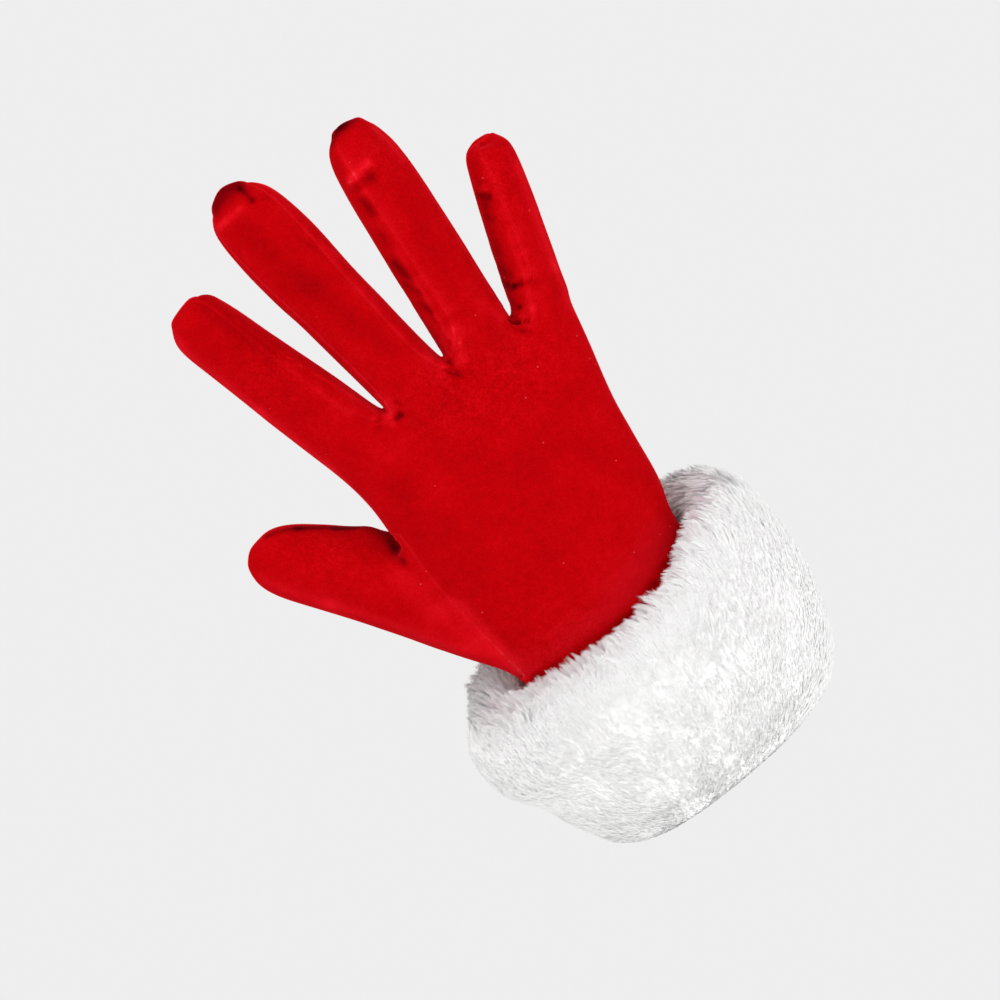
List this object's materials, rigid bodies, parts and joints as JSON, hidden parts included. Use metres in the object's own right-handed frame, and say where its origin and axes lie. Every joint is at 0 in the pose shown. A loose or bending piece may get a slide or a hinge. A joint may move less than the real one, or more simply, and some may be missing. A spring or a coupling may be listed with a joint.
{
  "type": "santa glove",
  "caption": "Five-fingered red velvet right-hand glove in its worn form, with gusset strips between the fingers, a set-in thumb and a deep white plush cuff round the wrist",
  "frame": {"origin": "middle of the wrist opening, level with the lower end of the cuff", "axes": "+Z from the wrist towards the fingertips, -Y out of the back of the hand, +Y out of the palm, +X towards the little finger, thumb at -X"},
  "size_m": [0.1479, 0.099, 0.2378],
  "materials": {
    "velvet": "short cut pile, soft sheen at grazing angles",
    "plush": "dense white faux-fur pile, matte"
  },
  "bodies": {
    "root": {"back_panel": "velvet", "palm_panel": "velvet", "thumb": "velvet", "gusset_index_middle": "velvet", "gusset_middle_ring": "velvet", "gusset_ring_little": "velvet", "plush_cuff": "plush"}
  },
  "joints": []
}
